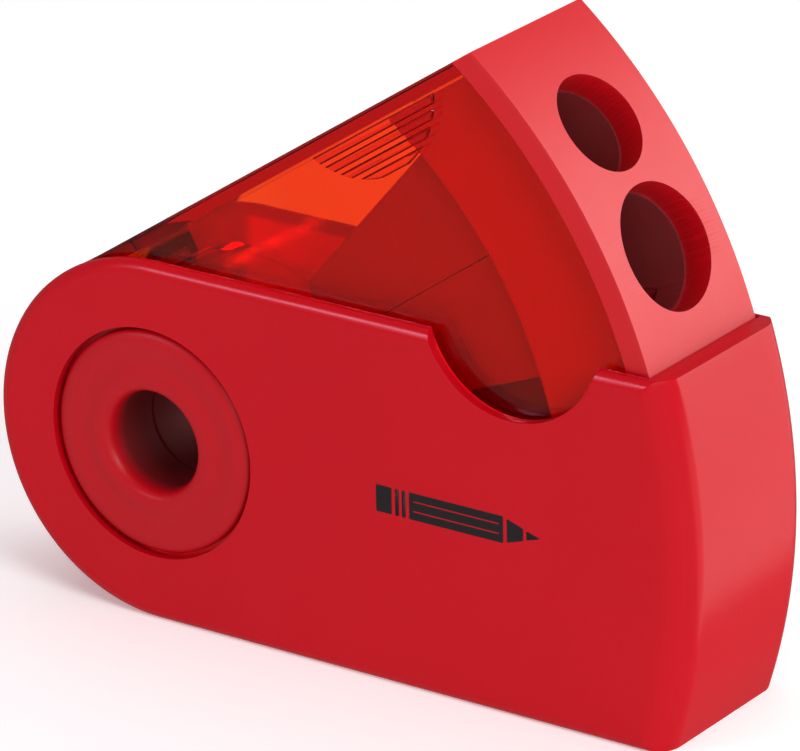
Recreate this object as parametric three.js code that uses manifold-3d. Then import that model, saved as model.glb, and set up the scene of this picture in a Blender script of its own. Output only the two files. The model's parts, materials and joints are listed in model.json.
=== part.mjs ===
// Two-hole pencil sharpener with a swinging shavings box.
//
// A narrow red sleeve, open along its top, carries a wedge-shaped box on a hollow hub. The box
// swings up out of the sleeve to sharpen and back into it for the pocket. Its curved head holds a
// standard hole and a jumbo hole, and behind each hole a plastic body carries a screwed-down blade.
//
// Millimetres, +Z up, +X towards the wide end, -Y the front side. Most shapes are drawn as side
// outlines about the hub's axis, then given their width along Y. The box stands open here.
import * as THREE from 'three';
import { mergeVertices } from 'three/addons/utils/BufferGeometryUtils.js';
import Module from 'manifold-3d';

const wasm = await Module();
wasm.setup();

// ---- Driving dimensions -------------------------------------------------------------------------

// Sleeve: its small end is a half round about the hub, its wide end an arc about the same axis.
const SLEEVE_WIDTH = 17.9;
const END_RADIUS = 15.7;
const WIDE_RADIUS = 51.9;
const WIDE_CORNER = 2.8;
const SLEEVE_EDGE = 0.7;
const SLEEVE_WALL = 1.0;
const SLEEVE_FLOOR = 1.3;
const WIDE_WALL = 1.6;
const SMALL_END_WALL_FROM = 126.6;
const NOTCH_X = 35.3;
const NOTCH_Z = 18.1;
const NOTCH_RADIUS = 8.35;

// Hub: a two-part hollow bush in a round recess. The recess bulges inwards as a boss.
const RECESS_RADIUS = 10;
const RECESS_DEPTH = 1.2;
const BOSS_RADIUS = 11;
const BOSS_FLOOR = 1.0;
const FLANGE_RADIUS = 9.6;
const FLANGE_LIFT = 0.15;
const BARREL_RADIUS = 6;
const BARREL_FIT = 0.3;
const BORE_RADIUS = 4.3;
const SPIGOT_RADIUS = 5.05;
const SPIGOT_LENGTH = 2.85;
const SPIGOT_FIT = 0.2;
const HUB_SPLIT_Y = 0.15;

// Hub's face: rolled rim, shallow dish, raised lip and bore mouth. Each point is its radius and its
// height over the sleeve's side.
const HUB_FACE = [
  [FLANGE_RADIUS, -0.45], [FLANGE_RADIUS - 0.18, -0.14], [FLANGE_RADIUS - 0.6, 0],
  [8.2, -0.1], [7.0, -0.12], [6.1, 0.08], [5.4, 0.25], [4.8, 0.1], [4.45, -0.25],
  [BORE_RADIUS, -0.8],
];

// Swinging box, drawn closed: its top runs flush with the sleeve's top.
const OPEN_ANGLE = 33.4;
const BOX_TOP = 15.55;
const BOX_BOTTOM = -14.1;
const BOX_HALF_WIDTH = 7.5;
const BOX_WALL = 1.0;
const BOX_ROOF = 1.15;
const BOX_MOUTH_RADIUS = 47.7;
const BOX_END_RADIUS = 14.1;
const STOP_ANGLE = 92;
const BEARING_FIT = 0.25;
const HUB_WALL_RADIUS = 12.4;
const HUB_ROOM_RIGHT = 2;
const CHAMBER_TOP_LEFT = 1.1;
const CHAMBER_BOTTOM_LEFT = 3.5;
const WALL_STEP_X = 12.7;
const WALL_STEP = 0.15;
const NAIL_ANGLE = 0.6;
const NAIL_RADIUS = 15.2;
const NAIL_BOTTOM = 46.7;
const NAIL_DEPTH = 0.4;

// Grip bars on the box's sides, inside the round of the finger notch.
const GRIP_PITCH = 1.08;
const GRIP_TOP = 13.8;
const GRIP_BARS = 4;
const GRIP_HEIGHT = 0.3;
const GRIP_BAR_WIDTH = 0.74;
const GRIP_MARGIN = 0.3;

// Head: a curved face plate with a skirt that plugs into the box. It is thicker inside the skirt.
const HEAD_RADIUS = 50;
const HEAD_PLATE = 2;
const HEAD_THICK = 2.6;
const HEAD_HALF_WIDTH = 7.7;
const SKIRT_INNER_RADIUS = 39;
const SKIRT_FIT = 0.2;
const SKIRT_WALL = 0.7;
const SKIRT_ROOF = 0.8;
const SKIRT_ROOF_FIT = 0.25;

// Sharpeners: both holes point at the hub's axis. Angles are measured in the closed box.
const SPLIT_ANGLE = 1.5;
const SPLIT_GAP = 0.1;
const BODY_HALF_WIDTH = 5.45;
const BODY_FRONT_RADIUS = 47.15;
const BODY_BACK = 20.5;
const BODY_CORNER = 1.2;
const BODY_STEP_GAP = 0.3;
const CHEEK_WALL = 0.85;
const COLLAR = 1.6;
const COLLAR_SPLIT_GAP = 0.2;
const CONE_MOUTH_AT = 47.2;
const CONE_TIP_RADIUS = 0.45;
const SEAT_DROP = 0.2;
const SLOT_WIDTH = 3.0;
const SLOT_DEPTH = 1.4;
const SLOT_PAST_TIP = 3;
const SLOT_BEHIND_COLLAR = 0.6;
const BLADE_THICKNESS = 0.8;
const BLADE_GAP = 0.15;
const BLADE_EDGE_Y = -0.2;
const BLADE_WIDTH = 4.6;
const BLADE_BEVEL = 1.0;
const BLADE_BEHIND_COLLAR = 0.5;
const SCREW_Y = 2.9;
const SCREW_RADIUS = 0.9;
const SCREW_LENGTH = 3.0;
const SCREW_POINT = 0.8;
const SCREW_HEAD_RADIUS = 1.4;
const SCREW_HEAD_HEIGHT = 0.6;
const SCREW_FIT = 0.2;
const SCREW_SLOT_WIDTH = 0.4;
const SCREW_SLOT_DEPTH = 0.3;

const SHARPENERS = {
  small: {
    angle: 7.07, turned: false, holeRadius: 4.32, mouthRadius: 4.1, halfAngle: 11.5,
    cheekHeight: 7.28, cheekSlope: 0.156, collarTop: 7.3, bladeBack: 27, screwAt: 34.5,
  },
  large: {
    angle: -5.46, turned: true, holeRadius: 5.29, mouthRadius: 5.0, halfAngle: 12,
    cheekHeight: 6.8, cheekSlope: 0.115, collarTop: 6.9, bladeBack: 24.5, screwAt: 31,
  },
};

// ---- Materials ----------------------------------------------------------------------------------

const redPlastic = { color: 0xb8141f, roughness: 0.35, metalness: 0 };
const clearRedPlastic = { color: 0xd8361c, roughness: 0.15, metalness: 0 };
const darkRedPlastic = { color: 0x8c161c, roughness: 0.45, metalness: 0 };
const steel = { color: 0xb9bcc0, roughness: 0.3, metalness: 1 };

// ---- Helpers ------------------------------------------------------------------------------------

const radians = THREE.MathUtils.degToRad;
const SLEEVE_HALF = SLEEVE_WIDTH / 2;

// Places well outside a shape, for outlines that are cut to length or that cut right through.
const FAR = 80;
const BEHIND_SKIRT = 30;
const FAR_BEHIND_SKIRT = 20;
const PAST = 2;

/** Signed volume of an indexed triangle list, positive when its faces point outwards. */
function signedVolume(positions, triangles) {
  const [a, b, c] = [new THREE.Vector3(), new THREE.Vector3(), new THREE.Vector3()];
  let sum = 0;
  for (let i = 0; i < triangles.length; i += 3) {
    a.fromArray(positions, triangles[i] * 3);
    b.fromArray(positions, triangles[i + 1] * 3);
    c.fromArray(positions, triangles[i + 2] * 3);
    sum += a.dot(b.cross(c)) / 6;
  }
  return sum;
}

/** Turns a closed three.js geometry into a solid that can be joined and cut. */
function solid(geometry) {
  geometry.deleteAttribute('normal');
  geometry.deleteAttribute('uv');
  const merged = mergeVertices(geometry, 1e-4);
  const positions = new Float32Array(merged.attributes.position.array);
  const corners = merged.index.array;
  const triangles = [];
  for (let i = 0; i < corners.length; i += 3) {
    const [a, b, c] = [corners[i], corners[i + 1], corners[i + 2]];
    if (a !== b && b !== c && c !== a) {
      triangles.push(a, b, c);
    }
  }
  if (signedVolume(positions, triangles) < 0) {
    triangles.reverse();
  }
  const triVerts = new Uint32Array(triangles);
  return new wasm.Manifold(new wasm.Mesh({ numProp: 3, vertProperties: positions, triVerts }));
}

/** Gives a side outline its width along Y, from y0 to y1. A bevel rounds both outer edges. */
function slab(outline, y0, y1, bevel = 0, curveSegments = 18) {
  const geometry = new THREE.ExtrudeGeometry(outline, {
    depth: y1 - y0 - 2 * bevel,
    curveSegments,
    bevelEnabled: bevel > 0,
    bevelThickness: bevel,
    bevelSize: bevel,
    bevelOffset: -bevel,
    bevelSegments: 2,
  });
  geometry.translate(0, 0, bevel - y1);
  geometry.rotateX(Math.PI / 2);
  return solid(geometry);
}

/** A side outline through the given [x, z] corners. */
function outline(corners) {
  return new THREE.Shape(corners.map(([x, z]) => new THREE.Vector2(x, z)));
}

/** A cylinder along Y about the point (x, z). */
function pin(radius, y0, y1, x = 0, z = 0, segments = 40) {
  const geometry = new THREE.CylinderGeometry(radius, radius, y1 - y0, segments);
  geometry.translate(x, (y0 + y1) / 2, z);
  return solid(geometry);
}

/** A solid of revolution about the Y axis from [radius, y] corners. */
function turned(corners, segments) {
  const points = corners.map(([r, y]) => new THREE.Vector2(r, y));
  return solid(new THREE.LatheGeometry(points, segments));
}

/** A cylinder or cone along +X from x0 to x1. */
function bore(r0, r1, x0, x1, segments = 40) {
  const geometry = new THREE.CylinderGeometry(r1, r0, x1 - x0, segments);
  geometry.rotateZ(-Math.PI / 2);
  geometry.translate((x0 + x1) / 2, 0, 0);
  return solid(geometry);
}

/** A box between two opposite corners. */
function block([x0, y0, z0], [x1, y1, z1]) {
  const geometry = new THREE.BoxGeometry(x1 - x0, y1 - y0, z1 - z0);
  geometry.translate((x0 + x1) / 2, (y0 + y1) / 2, (z0 + z1) / 2);
  return solid(geometry);
}

/** An outline between two heights, bounded on the right by an arc about the hub's axis. */
function sector(left, bottom, top, radius) {
  const shape = new THREE.Shape();
  shape.moveTo(left, top);
  shape.lineTo(left, bottom);
  shape.absarc(0, 0, radius, Math.asin(bottom / radius), Math.asin(top / radius), false);
  shape.closePath();
  return shape;
}

/** Wraps a finished solid as a named mesh with its own material. */
function part(name, shape, finish) {
  const { vertProperties, triVerts } = shape.getMesh();
  const geometry = new THREE.BufferGeometry();
  geometry.setAttribute('position', new THREE.BufferAttribute(vertProperties, 3));
  geometry.setIndex(new THREE.BufferAttribute(triVerts, 1));
  geometry.computeVertexNormals();
  const mesh = new THREE.Mesh(geometry, new THREE.MeshStandardMaterial(finish));
  mesh.name = name;
  return mesh;
}

// ---- Sleeve -------------------------------------------------------------------------------------

/** The stadium-like side outline. The wide end runs on past the arc that trims it. */
function sleeveOutline() {
  const shape = new THREE.Shape();
  shape.absarc(0, 0, END_RADIUS, radians(90), radians(270), false);
  shape.lineTo(WIDE_RADIUS + PAST, -END_RADIUS);
  shape.lineTo(WIDE_RADIUS + PAST, END_RADIUS);
  shape.closePath();
  return shape;
}

/** The room inside the sleeve: open along the top, closed round the small end. */
function sleeveRoom() {
  const inner = END_RADIUS - SLEEVE_FLOOR;
  const wide = WIDE_RADIUS - WIDE_WALL;
  const top = END_RADIUS + PAST;
  const from = radians(SMALL_END_WALL_FROM);
  const shape = new THREE.Shape();
  shape.absarc(0, 0, inner, from, radians(270), false);
  shape.absarc(0, 0, wide, -Math.asin(inner / wide), Math.asin(top / wide), false);
  shape.lineTo(wide, FAR);
  shape.lineTo(FAR * Math.cos(from), FAR * Math.sin(from));
  shape.closePath();
  return shape;
}

/** A disc about the hub's axis whose rims are rounded: it trims the wide end. */
function wideEndDrum() {
  const DRUM_STEPS = 6;
  const corners = [[0, -SLEEVE_HALF]];
  for (const side of [-1, 1]) {
    for (let step = 0; step <= DRUM_STEPS; step += 1) {
      const share = side < 0 ? 1 - step / DRUM_STEPS : step / DRUM_STEPS;
      const turn = radians(90 * share);
      const r = WIDE_RADIUS - WIDE_CORNER + WIDE_CORNER * Math.cos(turn);
      const y = SLEEVE_HALF - WIDE_CORNER + WIDE_CORNER * Math.sin(turn);
      corners.push([r, side * y]);
    }
  }
  corners.push([0, SLEEVE_HALF]);
  return turned(corners, 120);
}

function sleeve() {
  const inside = SLEEVE_HALF - SLEEVE_WALL;
  let shape = slab(sleeveOutline(), -SLEEVE_HALF, SLEEVE_HALF, SLEEVE_EDGE);
  shape = shape.intersect(wideEndDrum());
  shape = shape.subtract(slab(sleeveRoom(), -inside, inside));
  shape = shape.subtract(pin(NOTCH_RADIUS, -SLEEVE_WIDTH, SLEEVE_WIDTH, NOTCH_X, NOTCH_Z, 64));
  const recessFloor = SLEEVE_HALF - RECESS_DEPTH;
  const bossTop = recessFloor - BOSS_FLOOR;
  for (const side of [-1, 1]) {
    const span = (near, far) => [side * near, side * far].sort((a, b) => a - b);
    shape = shape.add(pin(BOSS_RADIUS, ...span(bossTop, inside + SLEEVE_WALL / 2)));
    shape = shape.subtract(pin(RECESS_RADIUS, ...span(recessFloor, SLEEVE_WIDTH)));
  }
  return shape.subtract(pin(BARREL_RADIUS + BARREL_FIT, -SLEEVE_WIDTH, SLEEVE_WIDTH));
}

// ---- Hub ----------------------------------------------------------------------------------------
// The rear half's spigot plugs into the front half's socket.

const HUB_SEGMENTS = 36;
const SOCKET_RADIUS = SPIGOT_RADIUS + SPIGOT_FIT;
const SOCKET_END = HUB_SPLIT_Y + SPIGOT_LENGTH;
const SPIGOT_END = HUB_SPLIT_Y - SPIGOT_LENGTH;

/** A flanged half of the hub on one side. Its inner end steps at stepRadius, up to innerY. */
function hubHalf(side, stepRadius, innerY) {
  const seat = SLEEVE_HALF - RECESS_DEPTH + FLANGE_LIFT;
  const corners = [
    [BORE_RADIUS, innerY],
    [stepRadius, innerY],
    [stepRadius, HUB_SPLIT_Y],
    [BARREL_RADIUS, HUB_SPLIT_Y],
    [BARREL_RADIUS, seat],
    [FLANGE_RADIUS, seat],
    ...HUB_FACE.map(([r, height]) => [r, SLEEVE_HALF + height]),
  ];
  const profile = corners.map(([r, y]) => [r, side * y]);
  return turned([...profile, profile[0]], HUB_SEGMENTS);
}

// ---- Box ----------------------------------------------------------------------------------------

/** The box's side outline: straight top and bottom, round end with a stop step, curved mouth. */
function boxOutline() {
  const stop = radians(STOP_ANGLE);
  const mouth = BOX_MOUTH_RADIUS;
  const shape = new THREE.Shape();
  shape.absarc(0, 0, mouth, Math.asin(BOX_BOTTOM / mouth), Math.asin(BOX_TOP / mouth), false);
  shape.lineTo(0, BOX_TOP);
  shape.lineTo(BOX_TOP * Math.cos(stop), BOX_TOP * Math.sin(stop));
  shape.absarc(0, 0, BOX_END_RADIUS, stop, radians(270), false);
  shape.closePath();
  return shape;
}

/** The left half of the room round the hub. The bearing's own cut makes its right half. */
function hubRoom() {
  const shape = new THREE.Shape();
  shape.absarc(0, 0, BOX_END_RADIUS - BOX_WALL, radians(STOP_ANGLE), radians(270), false);
  shape.lineTo(HUB_ROOM_RIGHT, BOX_BOTTOM + BOX_WALL);
  shape.lineTo(HUB_ROOM_RIGHT, 0);
  shape.closePath();
  return shape;
}

/** The shavings chamber: all the room beyond a round wall about the hub. */
function chamber() {
  const roof = BOX_TOP - BOX_ROOF;
  const floor = BOX_BOTTOM + BOX_WALL;
  const top = Math.acos(CHAMBER_TOP_LEFT / HUB_WALL_RADIUS);
  const bottom = -Math.acos(CHAMBER_BOTTOM_LEFT / HUB_WALL_RADIUS);
  const shape = new THREE.Shape();
  shape.moveTo(FAR, floor);
  shape.lineTo(FAR, roof);
  shape.lineTo(CHAMBER_TOP_LEFT, roof);
  shape.absarc(0, 0, HUB_WALL_RADIUS, top, bottom, true);
  shape.lineTo(CHAMBER_BOTTOM_LEFT, floor);
  shape.closePath();
  return shape;
}

/** The grip bars of one side: straight bars, trimmed by a circle just inside the notch. */
function gripBars(y0, y1) {
  const reach = NOTCH_RADIUS - GRIP_MARGIN;
  let bars = null;
  for (let index = 0; index < GRIP_BARS; index += 1) {
    const middle = GRIP_TOP - index * GRIP_PITCH;
    const bar = outline([
      [NOTCH_X - reach, middle - GRIP_BAR_WIDTH / 2], [NOTCH_X + reach, middle - GRIP_BAR_WIDTH / 2],
      [NOTCH_X + reach, middle + GRIP_BAR_WIDTH / 2], [NOTCH_X - reach, middle + GRIP_BAR_WIDTH / 2],
    ]);
    const strip = slab(bar, y0, y1);
    bars = bars ? bars.add(strip) : strip;
  }
  return bars.intersect(pin(reach, -SLEEVE_HALF, SLEEVE_HALF, NOTCH_X, NOTCH_Z, 48));
}

function box() {
  const inside = BOX_HALF_WIDTH - BOX_WALL;
  const leftOfStep = outline([
    [-FAR, -FAR], [WALL_STEP_X, -FAR], [WALL_STEP_X, FAR], [-FAR, FAR],
  ]);
  const stepped = inside + WALL_STEP;
  let shape = slab(boxOutline(), -BOX_HALF_WIDTH, BOX_HALF_WIDTH);
  shape = shape.subtract(slab(chamber(), -inside, inside, 0, 48));
  shape = shape.subtract(slab(chamber(), -stepped, stepped, 0, 48)
    .intersect(slab(leftOfStep, -SLEEVE_HALF, SLEEVE_HALF)));
  shape = shape.subtract(slab(hubRoom(), -inside, inside));
  shape = shape.subtract(pin(BOSS_RADIUS + BEARING_FIT, -SLEEVE_HALF, SLEEVE_HALF));
  const nailCentre = NAIL_BOTTOM + NAIL_RADIUS;
  const nailX = nailCentre * Math.cos(radians(NAIL_ANGLE));
  const nailZ = nailCentre * Math.sin(radians(NAIL_ANGLE));
  const nailFloor = BOX_HALF_WIDTH - NAIL_DEPTH;
  shape = shape.subtract(pin(NAIL_RADIUS, -SLEEVE_HALF, -nailFloor, nailX, nailZ, 96));
  shape = shape.subtract(pin(NAIL_RADIUS, nailFloor, SLEEVE_HALF, nailX, nailZ, 96));
  const gripTop = BOX_HALF_WIDTH + GRIP_HEIGHT;
  shape = shape.add(gripBars(-gripTop, BOX_WALL / 2 - BOX_HALF_WIDTH));
  return shape.add(gripBars(BOX_HALF_WIDTH - BOX_WALL / 2, gripTop));
}

// ---- Head ---------------------------------------------------------------------------------------

function head() {
  const plateInner = HEAD_RADIUS - HEAD_PLATE;
  const plateOutline = sector(BEHIND_SKIRT, BOX_BOTTOM, BOX_TOP, HEAD_RADIUS);
  const behindPlate = sector(FAR_BEHIND_SKIRT, BOX_BOTTOM - PAST, BOX_TOP + PAST, plateInner);
  const plate = slab(plateOutline, -HEAD_HALF_WIDTH, HEAD_HALF_WIDTH)
    .subtract(slab(behindPlate, -SLEEVE_HALF, SLEEVE_HALF));
  const outer = {
    top: BOX_TOP - BOX_ROOF - SKIRT_ROOF_FIT,
    bottom: BOX_BOTTOM + BOX_WALL + SKIRT_ROOF_FIT,
    halfWidth: BOX_HALF_WIDTH - BOX_WALL - SKIRT_FIT,
  };
  const inner = {
    top: outer.top - SKIRT_ROOF,
    bottom: outer.bottom + SKIRT_ROOF,
    halfWidth: outer.halfWidth - SKIRT_WALL,
  };
  const outside = sector(BEHIND_SKIRT, outer.bottom, outer.top, plateInner + HEAD_PLATE / 2);
  const inside = sector(FAR_BEHIND_SKIRT, inner.bottom, inner.top, HEAD_RADIUS - HEAD_THICK);
  const skirt = slab(outside, -outer.halfWidth, outer.halfWidth)
    .subtract(pin(SKIRT_INNER_RADIUS, -SLEEVE_HALF, SLEEVE_HALF, 0, 0, 120))
    .subtract(slab(inside, -inner.halfWidth, inner.halfWidth));
  let shape = plate.add(skirt);
  for (const { angle, holeRadius } of Object.values(SHARPENERS)) {
    const geometry = new THREE.CylinderGeometry(holeRadius, holeRadius, 6 * HEAD_PLATE, 48);
    geometry.rotateZ(-Math.PI / 2);
    geometry.translate(HEAD_RADIUS, 0, 0);
    geometry.rotateY(-radians(angle));
    shape = shape.subtract(solid(geometry));
  }
  return shape;
}

// ---- Sharpeners ---------------------------------------------------------------------------------
// Each is drawn with its bore along +X from the hub's axis and its blade on the +Z side.

/** Radius of the conical bore at a distance from the hub's axis. */
function coneRadius(spec, at) {
  return spec.mouthRadius - (CONE_MOUTH_AT - at) * Math.tan(radians(spec.halfAngle));
}

/** Height of the blade's seat above the bore's axis: the cone just breaks through it. */
function seatHeight(spec, at) {
  return coneRadius(spec, at) - SEAT_DROP;
}

/** Height of the cheek's edge. */
function cheekEdge(spec, at) {
  return spec.cheekHeight - (CONE_MOUTH_AT - at) * spec.cheekSlope;
}

function sharpenerBody(spec) {
  const splitTurn = Math.tan(radians(Math.abs(spec.angle - SPLIT_ANGLE)));
  const low = (at) => -at * splitTurn + SPLIT_GAP;
  const front = BODY_FRONT_RADIUS + PAST;
  const stepAt = spec.bladeBack - BODY_STEP_GAP;
  const seatSide = outline([
    [BODY_BACK, low(BODY_BACK)], [front, low(front)], [front, seatHeight(spec, front)],
    [stepAt, seatHeight(spec, stepAt)], [stepAt, cheekEdge(spec, stepAt)],
    [BODY_BACK + BODY_CORNER, cheekEdge(spec, BODY_BACK + BODY_CORNER)],
    [BODY_BACK + 0.3 * BODY_CORNER, cheekEdge(spec, BODY_BACK) - 0.3 * BODY_CORNER],
    [BODY_BACK, cheekEdge(spec, BODY_BACK) - BODY_CORNER],
  ]);
  const cheek = outline([
    [BODY_BACK + BODY_CORNER, low(BODY_BACK + BODY_CORNER)], [front, low(front)],
    [front, cheekEdge(spec, front)],
    [BODY_BACK + BODY_CORNER, cheekEdge(spec, BODY_BACK + BODY_CORNER)],
  ]);
  const collarBack = BODY_FRONT_RADIUS - COLLAR;
  const slotFront = collarBack - SLOT_BEHIND_COLLAR;
  const apexAt = CONE_MOUTH_AT - spec.mouthRadius / Math.tan(radians(spec.halfAngle));
  const slotBack = apexAt + SLOT_PAST_TIP;
  const slotOutline = outline([
    [slotBack, seatHeight(spec, slotBack) - SLOT_DEPTH / 2],
    [slotFront, seatHeight(spec, slotFront) - SLOT_DEPTH],
    [slotFront, FAR], [slotBack, FAR],
  ]);
  const tipAt = apexAt + CONE_TIP_RADIUS / Math.tan(radians(spec.halfAngle));
  const frontAt = CONE_MOUTH_AT + PAST;
  const screwTilt = radians(-spec.halfAngle);
  const screwHole = new THREE.CylinderGeometry(
    SCREW_RADIUS + SCREW_FIT, SCREW_RADIUS + SCREW_FIT, 2 * (SCREW_LENGTH + SCREW_FIT), 24,
  );
  screwHole.rotateX(Math.PI / 2);
  screwHole.rotateY(screwTilt);
  screwHole.translate(spec.screwAt, SCREW_Y, seatHeight(spec, spec.screwAt));
  return slab(seatSide, -BODY_HALF_WIDTH, BODY_HALF_WIDTH)
    .add(slab(cheek, -BODY_HALF_WIDTH, CHEEK_WALL - BODY_HALF_WIDTH))
    .add(slab(cheek, BODY_HALF_WIDTH - CHEEK_WALL, BODY_HALF_WIDTH))
    .add(block(
      [collarBack, -BODY_HALF_WIDTH, low(collarBack) + COLLAR_SPLIT_GAP],
      [front, BODY_HALF_WIDTH, spec.collarTop],
    ))
    .intersect(pin(BODY_FRONT_RADIUS, -SLEEVE_HALF, SLEEVE_HALF, 0, 0, 120))
    .subtract(bore(CONE_TIP_RADIUS, coneRadius(spec, frontAt), tipAt, frontAt))
    .subtract(slab(slotOutline, BLADE_EDGE_Y - SLOT_WIDTH, BLADE_EDGE_Y))
    .subtract(solid(screwHole));
}

/** Lays a piece drawn on the blade's seat, with +Z up from it, at its place along the bore. */
function onSeat(geometry, spec) {
  geometry.rotateY(radians(-spec.halfAngle));
  geometry.translate(spec.screwAt, SCREW_Y, seatHeight(spec, spec.screwAt));
  return solid(geometry);
}

/** A flat blade whose lower long edge is ground to a cutting edge along the cone. */
function blade(spec) {
  const tilt = Math.cos(radians(spec.halfAngle));
  const back = (spec.bladeBack - spec.screwAt) / tilt;
  const collarBack = BODY_FRONT_RADIUS - COLLAR;
  const front = (collarBack - BLADE_BEHIND_COLLAR - spec.screwAt) / tilt;
  const near = BLADE_EDGE_Y - SCREW_Y;
  const section = new THREE.Shape([
    new THREE.Vector2(near, BLADE_GAP),
    new THREE.Vector2(near + BLADE_WIDTH, BLADE_GAP),
    new THREE.Vector2(near + BLADE_WIDTH, BLADE_GAP + BLADE_THICKNESS),
    new THREE.Vector2(near + BLADE_BEVEL, BLADE_GAP + BLADE_THICKNESS),
  ]);
  const strip = new THREE.ExtrudeGeometry(section, { depth: front - back, bevelEnabled: false });
  strip.rotateX(Math.PI / 2);
  strip.rotateZ(Math.PI / 2);
  strip.translate(back, 0, 0);
  const radius = SCREW_RADIUS + SCREW_FIT;
  const hole = new THREE.CylinderGeometry(radius, radius, 4 * BLADE_THICKNESS, 24);
  hole.rotateX(Math.PI / 2);
  return onSeat(strip, spec).subtract(onSeat(hole, spec));
}

/** A slotted pan-head screw, drawn about Z with its head's underside just over the blade. */
function screw(spec) {
  const seat = 2 * BLADE_GAP + BLADE_THICKNESS;
  const rim = SCREW_HEAD_RADIUS;
  const profile = [
    [0, -SCREW_LENGTH], [0.55 * SCREW_RADIUS, -SCREW_LENGTH],
    [SCREW_RADIUS, SCREW_POINT - SCREW_LENGTH], [SCREW_RADIUS, seat], [rim, seat],
    [rim, seat + 0.4 * SCREW_HEAD_HEIGHT], [0.75 * rim, seat + 0.9 * SCREW_HEAD_HEIGHT],
    [0, seat + SCREW_HEAD_HEIGHT],
  ];
  const geometry = new THREE.LatheGeometry(profile.map(([r, z]) => new THREE.Vector2(r, z)), 24);
  geometry.rotateX(Math.PI / 2);
  const slotBottom = seat + SCREW_HEAD_HEIGHT - SCREW_SLOT_DEPTH;
  const slot = new THREE.BoxGeometry(4 * rim, SCREW_SLOT_WIDTH, PAST);
  slot.translate(0, 0, slotBottom + PAST / 2);
  return onSeat(geometry, spec).subtract(onSeat(slot, spec));
}

/** A sharpener's body, blade and screw, in a group turned to its hole's angle. */
function sharpener(size) {
  const spec = SHARPENERS[size];
  const group = new THREE.Group();
  group.add(part(`${size}_sharpener_body`, sharpenerBody(spec), darkRedPlastic));
  group.add(part(`${size}_blade`, blade(spec), steel));
  group.add(part(`${size}_blade_screw`, screw(spec), steel));
  group.rotation.set(spec.turned ? Math.PI : 0, -radians(spec.angle), 0, 'YXZ');
  return group;
}

// ---- Assembly -----------------------------------------------------------------------------------

const swingingBox = new THREE.Group();
swingingBox.add(part('shavings_container', box(), clearRedPlastic));
swingingBox.add(part('head_cover', head(), redPlastic));
swingingBox.add(sharpener('small'));
swingingBox.add(sharpener('large'));
swingingBox.rotation.y = -radians(OPEN_ANGLE);

const pencilSharpener = new THREE.Group();
pencilSharpener.add(part('sleeve', sleeve(), redPlastic));
pencilSharpener.add(part('hub_front', hubHalf(-1, SOCKET_RADIUS, SOCKET_END), redPlastic));
pencilSharpener.add(part('hub_rear', hubHalf(1, SPIGOT_RADIUS, SPIGOT_END), redPlastic));
pencilSharpener.add(swingingBox);
pencilSharpener.position.set((END_RADIUS - WIDE_RADIUS) / 2, 0, END_RADIUS);

export default new THREE.Group().add(pencilSharpener);
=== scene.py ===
# %% [markdown]
# # A two-hole pencil sharpener with a swinging shavings box
# The real object is a handful of injection mouldings: an opaque red sleeve, a clear red box that
# swings out of it on a hollow hub, a curved head with two holes, and two small sharpeners behind
# them. Nearly every face is an outline drawn from the side and given a width, so the lesson builds
# closed bodies from outlines with numpy, joins and cuts them as a toolmaker would, and eases their
# edges. Lengths are millimetres while a body is being shaped, and metres once it is placed.

# %% Load the fixed frame
import json
import math

import bpy
import numpy as np
from mathutils import Matrix, Vector


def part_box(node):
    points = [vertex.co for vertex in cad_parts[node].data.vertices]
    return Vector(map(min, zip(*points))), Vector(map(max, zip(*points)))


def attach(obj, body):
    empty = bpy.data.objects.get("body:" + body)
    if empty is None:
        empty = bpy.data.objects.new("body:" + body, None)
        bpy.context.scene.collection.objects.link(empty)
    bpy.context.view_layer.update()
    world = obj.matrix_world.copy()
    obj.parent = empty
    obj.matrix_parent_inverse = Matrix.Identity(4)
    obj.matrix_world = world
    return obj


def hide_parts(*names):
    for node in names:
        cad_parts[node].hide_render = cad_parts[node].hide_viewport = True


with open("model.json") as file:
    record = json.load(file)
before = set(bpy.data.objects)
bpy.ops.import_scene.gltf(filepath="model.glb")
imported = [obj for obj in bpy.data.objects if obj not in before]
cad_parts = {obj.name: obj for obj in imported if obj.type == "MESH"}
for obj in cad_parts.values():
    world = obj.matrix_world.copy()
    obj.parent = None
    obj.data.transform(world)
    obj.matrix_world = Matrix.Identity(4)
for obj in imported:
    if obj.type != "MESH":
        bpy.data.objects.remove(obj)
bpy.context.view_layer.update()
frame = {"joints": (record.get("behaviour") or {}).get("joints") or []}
swing = frame["joints"][0]
MM = 0.001
HUB = np.array(swing["pos_m"]) / MM
OPEN_ANGLE = math.radians(swing["range_deg"][1])
print("hub at", HUB, "mm, box open by", round(math.degrees(OPEN_ANGLE), 1), "degrees")

# %% [markdown]
# ## Driving sizes
# The sleeve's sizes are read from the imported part, so the looks can't drift from the mechanics.
# The rest are the design's own wall thicknesses and radii. Everything is drawn about the hub's
# axis, with the box closed, and the box's pieces are swung open when they are placed. THROUGH is
# the half width of a cutter that passes right through, and FAR lies beyond every outline.

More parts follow.
